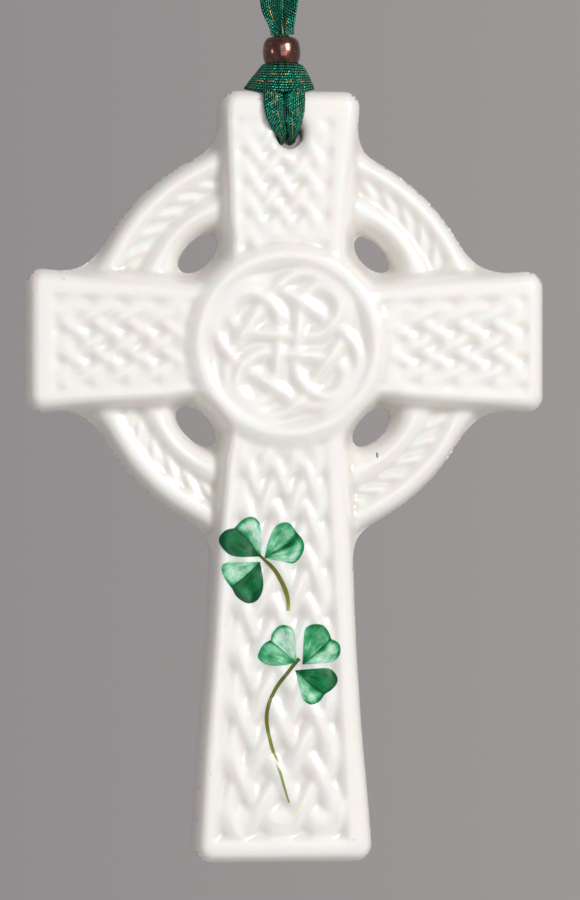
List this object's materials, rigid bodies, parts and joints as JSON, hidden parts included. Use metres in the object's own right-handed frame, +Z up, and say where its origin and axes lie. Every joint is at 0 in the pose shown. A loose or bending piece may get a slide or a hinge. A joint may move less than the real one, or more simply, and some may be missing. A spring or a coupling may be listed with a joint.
{
  "type": "hanging porcelain cross ornament",
  "caption": "White porcelain cross with a ring behind its arms, interlaced knotwork in sunk panels and a round boss, hung from a narrow ribbon loop gathered in a bead.",
  "frame": {"origin": "the point it hangs from: the inside of the top of the ribbon loop", "axes": "+Z up along the long arm, the decorated face towards -Y, +X along the side arms to the viewer's right"},
  "size_m": [0.0684, 0.0098, 0.1774],
  "materials": {
    "porcelain": "clear gloss glaze",
    "bead_lustre": "polished copper lustre",
    "ribbon_green": "satin with a metallic thread"
  },
  "bodies": {
    "root": {"porcelain_cross": "porcelain", "bead": "bead_lustre", "ribbon_hitch": "ribbon_green", "ribbon_loop": "ribbon_green"}
  },
  "joints": []
}
